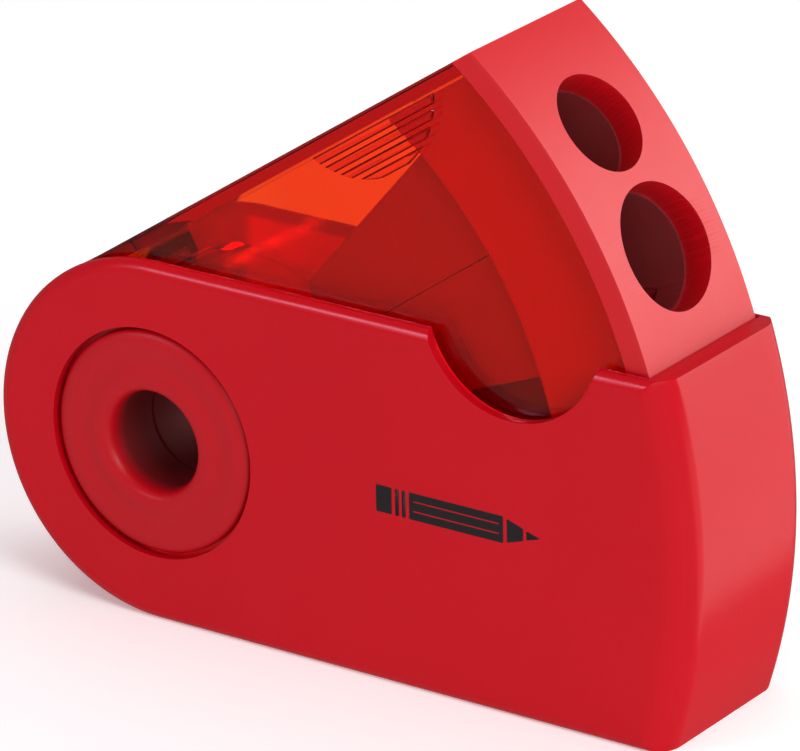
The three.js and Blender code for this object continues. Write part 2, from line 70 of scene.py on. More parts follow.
# %% Sizes in millimetres
sleeve_low, sleeve_high = (np.array(corner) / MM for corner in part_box("sleeve"))
HALF_WIDTH = (sleeve_high[1] - sleeve_low[1]) / 2
END_RADIUS = (sleeve_high[2] - sleeve_low[2]) / 2
WIDE_RADIUS = sleeve_high[0] - HUB[0]
WALL, FLOOR, WIDE_WALL = 1.0, 1.3, 1.6
WIDE_CORNER, SLEEVE_EDGE, WALL_TOP_ANGLE = 2.8, (1.3, 0.85), 126.6
INSIDE = HALF_WIDTH - WALL
RECESS_RADIUS, RECESS_DEPTH, BOSS_RADIUS, BOSS_FLOOR = 10.0, 1.2, 11.0, 1.0
HUB_BORE, HUB_BARREL, HUB_FLANGE, HUB_HOLE, BEARING_FIT = 4.3, 6.0, 9.62, 6.3, 0.25
NOTCH, NOTCH_RADIUS = (35.3, 18.1), 8.35
BOX_TOP, BOX_BOTTOM, BOX_END_RADIUS, BOX_HALF = 15.55, -14.1, 14.1, 7.5
BOX_WALL, BOX_ROOF, MOUTH_RADIUS, STOP_ANGLE = 1.0, 1.15, 47.93, 92
HUB_WALL, CHAMBER_LEFT, HUB_ROOM_RIGHT = 12.4, (1.1, 3.5), 2.0
STEP_X, STEP_DEPTH, STEP_RAMP = 12.7, 0.15, 3.0
GRIP_HEIGHT, GRIP_FLANK, GRIP_HALF, GRIP_ROOT, GRIP_MARGIN = 0.3, (0.16, 0.26), 0.37, 0.4, 0.3
GRIP_TOP, GRIP_PITCH, GRIP_BARS = 13.8, 1.08, 4
NAIL_REACH, NAIL_ANGLE, NAIL_RADIUS, NAIL_DEPTH, NAIL_SLOPE = 61.9, 0.6, 15.2, 0.4, 0.7
HEAD_RADIUS, HEAD_PLATE, HEAD_THICK, HEAD_HALF = 50.0, 2.0, 2.6, 7.7
SKIRT_RADIUS, SKIRT_FIT, SKIRT_WALL, SKIRT_ROOF = 39.0, 0.2, 0.7, 0.8
THROUGH, FAR = 20.0, 80.0
print("sleeve is", 2 * HALF_WIDTH, "wide and", WIDE_RADIUS + END_RADIUS, "long")

# %% [markdown]
# ## The camera
# A long lens from the front right and a little above, so the outlines hardly converge. The camera
# is placed by an aim point, a distance, a turn about the vertical, a height angle and a small roll.

# %% Camera
AIM = np.array([-2.8, 4.72, 20.4]) * MM
DISTANCE, AZIMUTH, ELEVATION, ROLL = 0.555, 35.09, 21.81, -0.88
LENS, SENSOR = 306.3, 36


def add_camera():
    """Places the camera at aim - distance * forward, rolled about its own view line."""
    turn, rise = math.radians(AZIMUTH), math.radians(ELEVATION)
    forward = np.array([-math.sin(turn) * math.cos(rise), math.cos(turn) * math.cos(rise),
                        -math.sin(rise)])
    right = np.cross(forward, (0, 0, 1))
    right /= np.linalg.norm(right)
    up = np.cross(right, forward)
    roll = math.radians(ROLL)
    rolled_right = right * math.cos(roll) + up * math.sin(roll)
    rolled_up = up * math.cos(roll) - right * math.sin(roll)
    place = np.identity(4)
    place[:3] = np.column_stack([rolled_right, rolled_up, -forward, AIM - DISTANCE * forward])
    camera = bpy.data.objects.new("camera", bpy.data.cameras.new("camera"))
    camera.data.lens = LENS
    camera.data.sensor_width = SENSOR
    camera.data.clip_start = 0.01
    bpy.context.scene.collection.objects.link(camera)
    camera.matrix_world = Matrix(place.tolist())
    bpy.context.scene.camera = camera


add_camera()
print("camera", DISTANCE, "m away")

# %% [markdown]
# ## Outlines
# An outline is a closed loop of (x, z) points, counter-clockwise as seen from the front. Straight
# stretches are just their two ends; a round stretch comes from the circle's formula. Small corner
# radii come from one helper that swaps each corner for a short parabola.


# %% Outline helpers
def arc(radius, start, end, count=24, centre=(0.0, 0.0)):
    """centre + radius * (cos t, sin t), with t running from start to end degrees."""
    t = np.radians(np.linspace(start, end, count))
    return np.column_stack([np.cos(t), np.sin(t)]) * radius + centre


def circle(radius, centre=(0.0, 0.0), count=144):
    """A full turn of arc without its repeated last point."""
    return arc(radius, 0, 360, count + 1, centre)[:-1]


def angle_at(height, radius):
    """Where a circle about the hub reaches a height: asin(height / radius), in degrees."""
    return math.degrees(math.asin(height / radius))


def soften(corners, reach, steps=5, most=0.49):
    """Swaps each corner P for the parabola a(1-t)^2 + 2P t(1-t) + b t^2 between its two sides.

    a and b lie on the sides, reach away from P, or at most that share of a short side.
    """
    corners = np.asarray(corners, float)
    reach = np.broadcast_to(np.asarray(reach, float), len(corners))[:, None]
    back, ahead = np.roll(corners, 1, 0) - corners, np.roll(corners, -1, 0) - corners
    back_length = np.linalg.norm(back, axis=1, keepdims=True)
    ahead_length = np.linalg.norm(ahead, axis=1, keepdims=True)
    a = corners + back * np.minimum(reach / back_length, most)
    b = corners + ahead * np.minimum(reach / ahead_length, most)
    t = np.linspace(0, 1, steps)[None, :, None]
    curve = a[:, None] * (1 - t) ** 2 + 2 * corners[:, None] * t * (1 - t) + b[:, None] * t ** 2
    return curve.reshape(-1, 2)


def inset(loop, distance):
    """Moves a loop inwards. Each point goes along the sum of its two sides' normals, divided by
    1 + their dot product, so both sides shift by the same distance."""
    side = np.roll(loop, -1, 0) - loop
    ahead = np.column_stack([side[:, 1], -side[:, 0]]) / np.linalg.norm(side, axis=1)[:, None]
    behind = np.roll(ahead, 1, 0)
    return loop - distance * (behind + ahead) / (1 + (behind * ahead).sum(1))[:, None]


# %% [markdown]
# ## Bodies from rings
# Every body is a stack of rings with the same number of points: a plate's rings are its outline,
# a cone's are circles, and a turned body's are one profile spun about the hub's axis. The faces
# follow from the ring and point numbers alone, so the whole mesh is made without a loop.


# %% Body class
def ring_mesh(rings, looped=False):
    """Joins ring k to ring k + 1 by quads. A stack is capped, a looped one closes on itself."""
    count, points = rings.shape[:2]
    k = np.arange(count if looped else count - 1)[:, None]
    i = np.arange(points)[None, :]
    k_next, i_next = (k + 1) % count, (i + 1) % points
    quads = np.stack([k * points + i, k_next * points + i, k_next * points + i_next,
                      k * points + i_next], -1).reshape(-1, 4)
    faces = quads.tolist()
    if not looped:
        faces += [list(range(points)), list(range((count - 1) * points, count * points))[::-1]]
    mesh = bpy.data.meshes.new("rings")
    mesh.from_pydata(rings.reshape(-1, 3).tolist(), [], faces)
    return mesh


def points_of(mesh):
    """A mesh's points as an (n, 3) array."""
    points = np.empty(len(mesh.vertices) * 3, np.float32)
    mesh.vertices.foreach_get("co", points)
    return points.reshape(-1, 3)


def move_points(mesh, turn, shift, scale=1.0):
    """Moves every point p to (turn p + shift) * scale."""
    moved = (points_of(mesh) @ turn.T + shift) * scale
    mesh.vertices.foreach_set("co", moved.astype(np.float32).ravel())


def facing_out(mesh):
    """Turns a closed mesh inside out if its signed volume, the sum of a.(b x c) / 6, is negative."""
    mesh.calc_loop_triangles()
    corners = np.empty(len(mesh.loop_triangles) * 3, np.int32)
    mesh.loop_triangles.foreach_get("vertices", corners)
    a, b, c = points_of(mesh)[corners.reshape(-1, 3)].transpose(1, 0, 2)
    if (a * np.cross(b, c)).sum() < 0:
        mesh.flip_normals()
    return mesh


class Body:
    """A closed body that is joined by +, cut by - and kept in common by &."""

    def __init__(self, mesh):
        self.object = bpy.data.objects.new("body", facing_out(mesh))
        bpy.context.scene.collection.objects.link(self.object)

    def baked(self):
        """The body with its modifiers applied. The body it came from is used up."""
        bpy.context.view_layer.update()
        seen = self.object.evaluated_get(bpy.context.evaluated_depsgraph_get())
        mesh = bpy.data.meshes.new_from_object(seen)
        bpy.data.objects.remove(self.object)
        return mesh

    def combined(self, other, operation):
        """The two bodies as one new one. Both are used up."""
        modifier = self.object.modifiers.new(operation, "BOOLEAN")
        modifier.operation = operation
        modifier.solver = "MANIFOLD"
        modifier.object = other.object
        mesh = self.baked()
        bpy.data.objects.remove(other.object)
        return Body(mesh)

    def __add__(self, other):
        return self.combined(other, "UNION")

    def __sub__(self, other):
        return self.combined(other, "DIFFERENCE")

    def __and__(self, other):
        return self.combined(other, "INTERSECT")

    def eased(self, width, segments=3, least_angle=35, flat_angle=0.2):
        """Rounds each edge that turns by more than least_angle degrees, once faces that turn by less
        than flat_angle are merged."""
        flat = self.object.modifiers.new("flat", "DECIMATE")
        flat.decimate_type = "DISSOLVE"
        flat.angle_limit = math.radians(flat_angle)
        bevel = self.object.modifiers.new("edges", "BEVEL")
        bevel.width = width
        bevel.segments = segments
        bevel.limit_method = "ANGLE"
        bevel.angle_limit = math.radians(least_angle)
        bevel.miter_outer = "MITER_ARC"
        return Body(self.baked())


# %% Body makers
def plate(loop, y0, y1, edge=(0.0, 0.0), steps=9):
    """An outline given a width from y0 to y1, with both rims rounded to a quarter ellipse: with
    edge = (a, b), at angle t the ring is inset by a (1 - sin t) and stands b (1 - cos t) in."""
    t = np.linspace(0, math.pi / 2, steps if edge[0] else 1)
    shrink, depth = edge[0] * (1 - np.sin(t)), edge[1] * (1 - np.cos(t))
    shrinks = np.concatenate([shrink, shrink[::-1]])
    ys = np.concatenate([y0 + depth, y1 - depth[::-1]])
    loops = [inset(loop, s) if s else loop for s in shrinks]
    rings = np.stack([np.column_stack([l[:, 0], np.full(len(l), y), l[:, 1]])
                      for l, y in zip(loops, ys)])
    return Body(ring_mesh(rings))


def both_sides(loop, half, **options):
    """A plate across the middle, from -half to half."""
    return plate(loop, -half, half, **options)


def one_side(loop, side, near, far, **options):
    """A plate between two distances from the middle. side is -1 for the front, 1 for the rear."""
    return plate(loop, min(side * near, side * far), max(side * near, side * far), **options)


def joined(bodies):
    """One body from several, added to the first in their order."""
    whole, *others = bodies
    for other in others:
        whole = whole + other
    return whole


def turned(profile, looped, count=240):
    """Spins a profile of (r, y) points about the Y axis: (r cos t, y, r sin t)."""
    profile = np.asarray(profile, float)
    t = np.linspace(0, 2 * math.pi, count, endpoint=False)
    rings = np.stack([profile[:, :1] * np.cos(t), np.repeat(profile[:, 1:], count, 1),
                      profile[:, :1] * np.sin(t)], -1)
    return Body(ring_mesh(rings, looped))


def rod(stations, angle=0.0, count=96):
    """A round bar or cone whose axis runs through the hub at an angle: each station (s, r) is a
    circle of radius r at distance s."""
    stations = np.asarray(stations, float)
    turn = math.radians(angle)
    along = np.array([math.cos(turn), 0, math.sin(turn)])
    aside = np.array([-math.sin(turn), 0, math.cos(turn)])
    t = np.linspace(0, 2 * math.pi, count, endpoint=False)[:, None]
    circle_points = np.sin(t) * aside + np.cos(t) * np.array([0, 1, 0])
    rings = stations[:, 0, None, None] * along + stations[:, 1, None, None] * circle_points
    return Body(ring_mesh(rings))


def sector(left, bottom, top, radius, count=72):
    """A loop between two heights, straight on the left and an arc about the hub on the right."""
    low, high = angle_at(bottom, radius), angle_at(top, radius)
    return np.concatenate([[(left, top), (left, bottom)], arc(radius, low, high, count)])


# %% [markdown]
# ## Shader maths
# A material here is written as arithmetic. Value wraps one output socket: adding or multiplying it
# drops a Math node into the tree, so a formula reads as a formula. Shader makes every other node.


# %% Shader helpers
class Value:
    """A number that changes over a surface, with + - * / and ** as Math nodes."""

    def __init__(self, shader, socket):
        self.shader, self.socket = shader, socket

    def maths(self, operation, left, right):
        """A Math node of that operation on two values or numbers."""
        made = self.shader.node("ShaderNodeMath", {"operation": operation}, {0: left, 1: right})
        return Value(self.shader, made.outputs[0])

    def __add__(self, other):
        return self.maths("ADD", self, other)

    def __radd__(self, other):
        return self.maths("ADD", other, self)

    def __sub__(self, other):
        return self.maths("SUBTRACT", self, other)

    def __rsub__(self, other):
        return self.maths("SUBTRACT", other, self)

    def __mul__(self, other):
        return self.maths("MULTIPLY", self, other)

    def __rmul__(self, other):
        return self.maths("MULTIPLY", other, self)

    def __truediv__(self, other):
        return self.maths("DIVIDE", self, other)

    def __pow__(self, other):
        return self.maths("POWER", self, other)

    def clipped(self):
        """The value held between 0 and 1."""
        made = self.shader.node("ShaderNodeClamp", {}, {0: self})
        return Value(self.shader, made.outputs[0])

    def size(self):
        """The value without its sign."""
        return self.maths("ABSOLUTE", self, 0.0)

    def under(self, limit, fade):
        """1 up to limit - fade, then a straight ramp down to 0 at limit."""
        return ((limit - self) / fade).clipped()

    def over(self, limit, fade):
        """0 up to limit, then a straight ramp up to 1 at limit + fade."""
        return ((self - limit) / fade).clipped()


class Shader:
    """A material and its node tree."""

    def __init__(self, name):
        self.material = bpy.data.materials.new(name)
        self.material.use_nodes = True
        self.tree = self.material.node_tree
        self.tree.nodes.clear()
        self.output = self.node("ShaderNodeOutputMaterial")
        self.place = self.node("ShaderNodeTexCoord").outputs["Object"]

    def node(self, kind, settings=None, inputs=None):
        """Adds a node, sets its own settings first, then gives its sockets values or links."""
        made = self.tree.nodes.new(kind)
        for key, value in (settings or {}).items():
            setattr(made, key, value)
        for key, value in (inputs or {}).items():
            socket = made.inputs[key]
            value = value.socket if isinstance(value, Value) else value
            if isinstance(value, bpy.types.NodeSocket):
                self.tree.links.new(value, socket)
            else:
                socket.default_value = value
        return made

    def noise(self, per_mm, detail=2.0, roughness=0.5, stretch=(1, 1, 1)):
        """Cloudy noise from 0 to 1 with about per_mm lumps to the millimetre."""
        place = self.place
        if stretch != (1, 1, 1):
            place = self.node("ShaderNodeMapping", {}, {"Vector": place, "Scale": stretch}).outputs[0]
        made = self.node("ShaderNodeTexNoise", {}, {
            "Vector": place, "Scale": per_mm / MM, "Detail": detail, "Roughness": roughness})
        return Value(self, made.outputs["Fac"])

    def from_hub(self):
        """x, y and z in millimetres, measured from the hub's centre."""
        apart = self.node("ShaderNodeSeparateXYZ", {}, {0: self.place})
        return [Value(self, out) * (1 / MM) - offset for out, offset in zip(apart.outputs, HUB)]

    def between(self, low, high, mix):
        """A colour from low to high as mix goes from 0 to 1."""
        made = self.node("ShaderNodeMix", {"data_type": "RGBA"}, {0: mix})
        for number, colour in ((6, low), (7, high)):
            if isinstance(colour, bpy.types.NodeSocket):
                self.tree.links.new(colour, made.inputs[number])
            else:
                made.inputs[number].default_value = (*colour, 1)
        return made.outputs[2]

    def bump(self, height, distance_mm, strength=1.0):
        """A surface normal tilted as if a height of 1 stood distance_mm above a height of 0."""
        made = self.node("ShaderNodeBump", {}, {
            "Height": height, "Distance": distance_mm * MM, "Strength": strength})
        return made.outputs["Normal"]

    def principled(self, **inputs):
        """A Principled shader. An input's name is its socket's, with _ for each space."""
        named = {key.replace("_", " "): value for key, value in inputs.items()}
        return self.node("ShaderNodeBsdfPrincipled", {}, named).outputs[0]

    def show(self, surface):
        """Links the finished surface to the output and hands over the material."""
        self.tree.links.new(surface, self.output.inputs["Surface"])
        print("material", self.material.name, "with", len(self.tree.nodes), "nodes")
        return self.material


# %% [markdown]
# ## Red plastics
# Opaque red plastic is saturated and smooth with the faint waviness of a moulding: slow noise
# shifts its colour and gloss a little, and a very shallow bump keeps reflections from being
# ruler-straight. The hub and the head's face were cut with a spark-eroded grain in the tool, so
# they get a fine bump and a duller gloss. Deep in a bore, and on the head's skirt, painted shade
# darkens the colour and dulls the gloss, by a mask worked out from the distance to the hub. The
# sleeve's inner faces are painted paler: painted light inside the sleeve.


# %% Red plastics
# Painted light: the pale red that the sleeve's inner faces are mixed towards.
PAINTED_LIGHT_RED = (0.85, 0.004, 0.010)
# Painted shade: the dark reds mixed in deep in bores and on the head's skirt.
PAINTED_SHADE_REDS = (0.13, 0.002, 0.003), (0.15, 0.003, 0.004)


def moulded_red(name, deep, bright, gloss, grain_mm, ior=1.48,
                painted_shade=None, polish=None, painted_light=None):
    """Opaque red. gloss is the mean roughness and grain_mm the height of the tool's texture.

    The shade mask, 0 to 1, marks what lies deep in a bore, where painted shade darkens the colour.
    polish(shader) is a 0 to 1 mask of the smooth faces, where the grain fades out and the gloss is
    higher. The light mask, 0 to 1, marks thin walls' inner faces, which painted light makes paler.
    """
    shader = Shader(name)
    slow = shader.noise(0.05, 2)
    fine = shader.noise(3.4, 3, 0.6)
    flow = shader.noise(0.35, 2)
    colour = shader.between(deep, bright, 0.75 * slow + 0.25 * fine)
    roughness = gloss + 0.05 * (flow - 0.5) + 0.06 * (fine - 0.5)
    height = fine + 0.35 * flow
    if polish:
        smooth = polish(shader)
        roughness = roughness - 0.16 * smooth
        height = height * (1 - 0.85 * smooth)
    if painted_light:
        # Painted light: the sleeve's inner faces turn paler where the mask is high.
        colour = shader.between(colour, PAINTED_LIGHT_RED, painted_light(shader))
    if painted_shade:
        # Painted shade: the colour turns dark and the gloss dull where the mask is high.
        shade_amount = painted_shade(shader)
        colour = shader.between(colour, shader.between(*PAINTED_SHADE_REDS, slow), shade_amount)
        roughness = roughness + 0.3 * shade_amount
    return shader.show(shader.principled(
        Base_Color=colour, Roughness=roughness, Normal=shader.bump(height, grain_mm), IOR=ior))


def reach_of(x, z):
    """Distance from the hub's axis, sqrt(x^2 + z^2)."""
    return (x * x + z * z) ** 0.5


# Painted shade: this mask darkens the hub's bore.
def painted_shade_in_hub_bore(shader):
    """1 on the bore's wall, fading in over 1.6 mm past its mouth."""
    x, y, z = shader.from_hub()
    return reach_of(x, z).under(HUB_BORE + 0.45, 0.25) * y.size().under(HALF_WIDTH - 0.6, 1.6)


# Painted shade: this mask darkens the pencil holes and, all over, the skirt behind the plate.
def painted_shade_in_holes_and_skirt(shader):
    """Grows from 0 at the curved face to 0.3 at the back of the plate, in the middle strip that
    holds the holes, and is 0.3 all over the skirt behind it."""
    x, y, z = shader.from_hub()
    reach = reach_of(x, z)
    depth = reach.under(HEAD_RADIUS - 0.4, HEAD_PLATE) * y.size().under(5.5, 0.2)
    skirt = reach.under(HEAD_RADIUS - HEAD_PLATE - 0.3, 0.25)
    return 0.3 * (depth + skirt).clipped()


def off_head_face(shader):
    """0 on the curved face, 1 on the flange's sides and the skirt."""
    x, _, z = shader.from_hub()
    return reach_of(x, z).under(HEAD_RADIUS - 0.2, 1 / 6)


# Painted light: this mask makes the sleeve's inner faces paler.
def painted_light_inside_sleeve(shader):
    """1 on the sleeve's inner faces: between the side walls, short of the wide end's outer face,
    above the underside, below the top edge and right of the round end."""
    x, y, z = shader.from_hub()
    between_walls = y.size().under(INSIDE + 0.3, 0.25)
    short_of_end = reach_of(x, z).under(WIDE_RADIUS - 0.8, 0.5)
    in_height = z.over(0.6 - END_RADIUS, 0.5) * z.under(END_RADIUS - 0.9, 0.5)
    return between_walls * short_of_end * in_height * x.over(-2.0, 1.0)


SLEEVE_RED = moulded_red("sleeve_red", (0.43, 0.001, 0.007), (0.51, 0.002, 0.010), 0.25, 0.004,
                         1.33, painted_light=painted_light_inside_sleeve)
HUB_RED = moulded_red("hub_red", (0.40, 0.001, 0.006), (0.47, 0.002, 0.009), 0.40, 0.012, 1.33,
                      painted_shade=painted_shade_in_hub_bore)
HEAD_RED = moulded_red("head_red", (0.48, 0.002, 0.006), (0.57, 0.003, 0.009), 0.46, 0.008,
                       painted_shade=painted_shade_in_holes_and_skirt, polish=off_head_face)

# %% [markdown]
# ## Clear red plastic
# The dye is in the depth of the plastic, so a thin wall looks orange and the long way through the
# roof looks crimson. A tint on the surface can't do that. The surface is therefore clear and
# colourless, and a Volume Absorption takes light away by Beer's law, exp(-rate * path), with a rate
# for each colour. Lamps' rays go straight through the surface, because light that had to find its
# way in by refraction alone would leave the inside black, and the depth still tints them. The
# sloping flanks of the grip bars get painted shade: their surface colour is darkened to stand in
# for the view that their slope bends away from the floor.


# %% Clear red
def clear_red(name, red_per_mm, green_per_mm, blue_per_mm):
    """The three rates are how fast each colour dies away: light is exp(-rate * mm). The flanks of
    the grip bars are where the height over the wall is between 0 and GRIP_HEIGHT."""
    shader = Shader(name)
    flow = shader.noise(0.22, 1)
    haze = shader.noise(1.2, 2)
    height = shader.from_hub()[1].size() - BOX_HALF
    # Painted shade: the grip bars' flanks get a darker surface colour.
    flank_shade = height.over(0.03, 0.025) * height.under(GRIP_HEIGHT - 0.03, 0.025)
    solid = shader.principled(
        Base_Color=shader.between((1.0, 1.0, 1.0), (0.34, 0.2, 0.2), flank_shade),
        Roughness=0.02 + 0.04 * haze, Transmission_Weight=1.0,
        IOR=1.46, Normal=shader.bump(flow, 0.012))
    through = shader.node("ShaderNodeBsdfTransparent", {}, {"Color": (1.0, 1.0, 1.0, 1)}).outputs[0]
    path = shader.node("ShaderNodeLightPath").outputs["Is Shadow Ray"]
    mixed = shader.node("ShaderNodeMixShader", {}, {0: path, 1: solid, 2: through}).outputs[0]
    rates = np.array([red_per_mm, green_per_mm, blue_per_mm]) / MM
    dye = shader.node("ShaderNodeVolumeAbsorption", {}, {
        "Color": (*(1 - rates / rates.max()), 1), "Density": rates.max()})
    shader.tree.links.new(dye.outputs[0], shader.output.inputs["Volume"])
    return shader.show(mixed)


CLEAR_RED = clear_red("clear_red", 0.05, 1.42, 2.5)

# %% [markdown]
# ## Steel and ink
# The blades are ground along their length, so their noise is stretched that way. The screws are
# plated and only a little dulled. The printed mark is a matt ink film.


# %% Metals and ink
def ground_steel(name, base, gloss, stretch):
    """Bare metal. The colour runs from 0.8 base to base as 0.6 lines + 0.4 wear, and the roughness
    is gloss + 0.14 (lines - 0.5), where lines is noise stretched along the grinding."""
    shader = Shader(name)
    lines = shader.noise(1.4, 2, 0.6, stretch)
    wear = shader.noise(0.4, 2)
    return shader.show(shader.principled(
        Base_Color=shader.between([0.8 * c for c in base], base, 0.6 * lines + 0.4 * wear),
        Metallic=1.0, Roughness=gloss + 0.14 * (lines - 0.5),
        Normal=shader.bump(lines, 0.004)))


BLADE_STEEL = ground_steel("blade_steel", (0.70, 0.71, 0.73), 0.26, (0.25, 6, 0.25))
SCREW_STEEL = ground_steel("screw_steel", (0.76, 0.76, 0.78), 0.22, (1, 1, 1))


def ink(name):
    """A matt black whose noise shifts its colour a little and adds up to 0.1 to its roughness."""
    shader = Shader(name)
    film = shader.noise(3.0, 2)
    return shader.show(shader.principled(
        Base_Color=shader.between((0.006, 0.005, 0.006), (0.014, 0.010, 0.011), film),
        Roughness=0.42 + 0.1 * film))


INK = ink("black_ink")

# %% [markdown]
# ## Placing a piece
# A finished body is only moved in its own points: millimetres to metres, the box's pieces swung
# open about the hub, and everything shifted to the hub's place. Weighted normals keep flat faces
# flat beside their rounded edges.

# %% Placing helper
SWUNG = np.array(Matrix.Rotation(-OPEN_ANGLE, 3, "Y"))
STILL = np.identity(3)
finished = []


def finish(name, body, rides, stands_for, material, pose=STILL):
    """Bakes a body into a piece at pose @ point + hub, in metres, with its material and ride."""
    mesh = body.baked()
    move_points(mesh, pose, HUB, MM)
    mesh.update()
    mesh.shade_smooth()
    mesh.name = name
    mesh.materials.clear()
    mesh.materials.append(material)
    piece = bpy.data.objects.new(name, mesh)
    bpy.context.scene.collection.objects.link(piece)
    weighted = piece.modifiers.new("flat faces", "WEIGHTED_NORMAL")
    weighted.weight = 80
    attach(piece, rides)
    if stands_for:
        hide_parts(stands_for)
    finished.append(piece)
    print(name, len(mesh.polygons), "faces")


# %% [markdown]
# ## The sleeve
# One moulding: two thin side walls joined by the floor, the round small end and the wide end. The
# wide end is an arc about the hub, so the head can swing past it, and its upright corners are
# generously rounded. A disc with a rounded rim, turned about the hub, trims that end in one cut.
# Then come the room inside, the finger notch, the hub's bosses and the recesses for its flanges.


# %% Sleeve
def sleeve_body():
    """The rounded rims come with the outline. In the trimming disc, t runs round each corner."""
    reach = WIDE_RADIUS + 6
    outer = np.concatenate([arc(END_RADIUS, 90, 270, 120),
                            [(reach, -END_RADIUS), (reach, END_RADIUS)]])
    t = np.radians(np.linspace(-90, 90, 2 * 12 + 1))
    bulge = np.column_stack([WIDE_RADIUS - WIDE_CORNER * (1 - np.cos(t)),
                             np.sign(t) * (HALF_WIDTH - WIDE_CORNER) + WIDE_CORNER * np.sin(t)])
    bulge = np.concatenate([[(1.0, -HALF_WIDTH - 1e-3)], bulge[np.abs(t) > 0.01],
                            [(1.0, HALF_WIDTH + 1e-3)]])
    shell = both_sides(outer, HALF_WIDTH, edge=SLEEVE_EDGE) & turned(bulge, False, 720)
    floor_radius, wide = END_RADIUS - FLOOR, WIDE_RADIUS - WIDE_WALL
    low, high = angle_at(-floor_radius, wide), angle_at(END_RADIUS + 2, wide)
    room = np.concatenate([arc(floor_radius, WALL_TOP_ANGLE, 270, 96), arc(wide, low, high, 72),
                           [(wide, FAR)], arc(FAR, WALL_TOP_ANGLE, WALL_TOP_ANGLE, 1)])
    shell = shell - both_sides(room, INSIDE)
    shell = shell - both_sides(circle(NOTCH_RADIUS, NOTCH), THROUGH)
    recess_floor = HALF_WIDTH - RECESS_DEPTH
    for side in (-1, 1):
        shell = shell + one_side(circle(BOSS_RADIUS), side, recess_floor - BOSS_FLOOR,
                                 INSIDE + WALL / 2)
        shell = shell - one_side(circle(RECESS_RADIUS), side, recess_floor, THROUGH)
    return (shell - both_sides(circle(HUB_HOLE), THROUGH)).eased(0.28, 3)


finish("sleeve_shell", sleeve_body(), "sleeve_group", "sleeve", SLEEVE_RED)

# %% [markdown]
# ## The hub
# Two flanged bushes that snap together through the walls. The flange is gently dished between a
# rolled rim and a rounded lip that runs down into the bore, so it is one profile spun about the
# axis, its corners softened by different amounts.


# %% Hub
SPIGOT, SOCKET, MEET, DEEP, SEAT_GAP = 5.05, 5.25, 0.15, 2.85, 0.15


def hub_body(side, spigot, spigot_end):
    """side is -1 for the front. The barrel's inner end steps at the spigot's radius."""
    face, seat = HALF_WIDTH, HALF_WIDTH - RECESS_DEPTH + SEAT_GAP
    flange = [(HUB_BARREL, seat), (HUB_FLANGE, seat), (HUB_FLANGE, face - 0.32),
              (8.4, face - 0.02), (6.9, face - 0.24), (5.6, face + 0.1), (HUB_BORE, face - 0.2)]
    inner_end = [(HUB_BORE, spigot_end), (spigot, spigot_end), (spigot, MEET), (HUB_BARREL, MEET)]
    reach = [0.1, 0.1, 0.6, 0.75, 0.7, 0.8, 1.1] + [0.1] * len(inner_end)
    return turned(soften(flange + inner_end, reach, 8) * (1, side), True)


for end, side, spigot, spigot_end in (("front", -1, SOCKET, MEET + DEEP),
                                      ("rear", 1, SPIGOT, MEET - DEEP)):
    finish(f"hub_bush_{end}", hub_body(side, spigot, spigot_end), "sleeve_group", f"hub_{end}",
           HUB_RED)

# %% [markdown]
# ## The shavings box
# A clear box with a straight roof and floor, a round end that turns between the sleeve's bosses,
# and a round wall that keeps shavings off the hub. The step at the top of the round end is the open
# stop. Shallow bars on both sides give the fingertip a grip where the notch shows them. The rooms
# inside keep nearly sharp edges, because a rounded edge in clear plastic shows as a dark line.


# %% Shavings box
def grip_bars(side):
    """Straight bars with sloping flanks, trimmed by a circle just inside the notch. At height z
    the circle's edge is at the angle asin(z / R), so a bar's outline is its two ends' arcs."""
    reach = NOTCH_RADIUS - GRIP_MARGIN
    bars = []
    for middle in GRIP_TOP - NOTCH[1] - GRIP_PITCH * np.arange(GRIP_BARS):
        low, high = angle_at(middle - GRIP_HALF, reach), angle_at(middle + GRIP_HALF, reach)
        loop = np.concatenate([arc(reach, 180 - high, 180 - low, 4, NOTCH),
                               arc(reach, 360 + low, 360 + high, 4, NOTCH)])
        bars.append(one_side(loop, side, BOX_HALF - GRIP_ROOT, BOX_HALF + GRIP_HEIGHT,
                             edge=GRIP_FLANK, steps=2))
    return joined(bars)


def wall_thinner(inside):
    """A block, drawn from above, that reaches STEP_DEPTH into each side wall and ramps back to the
    wall's face at STEP_X."""
    wide, ramp_start = inside + STEP_DEPTH, STEP_X - STEP_RAMP
    block = np.array([(-FAR, -wide), (ramp_start, -wide), (STEP_X, -inside),
                      (STEP_X, inside), (ramp_start, wide), (-FAR, wide)])
    return Body(ring_mesh(np.stack([np.insert(block, 2, z, 1) for z in (-FAR, FAR)])))


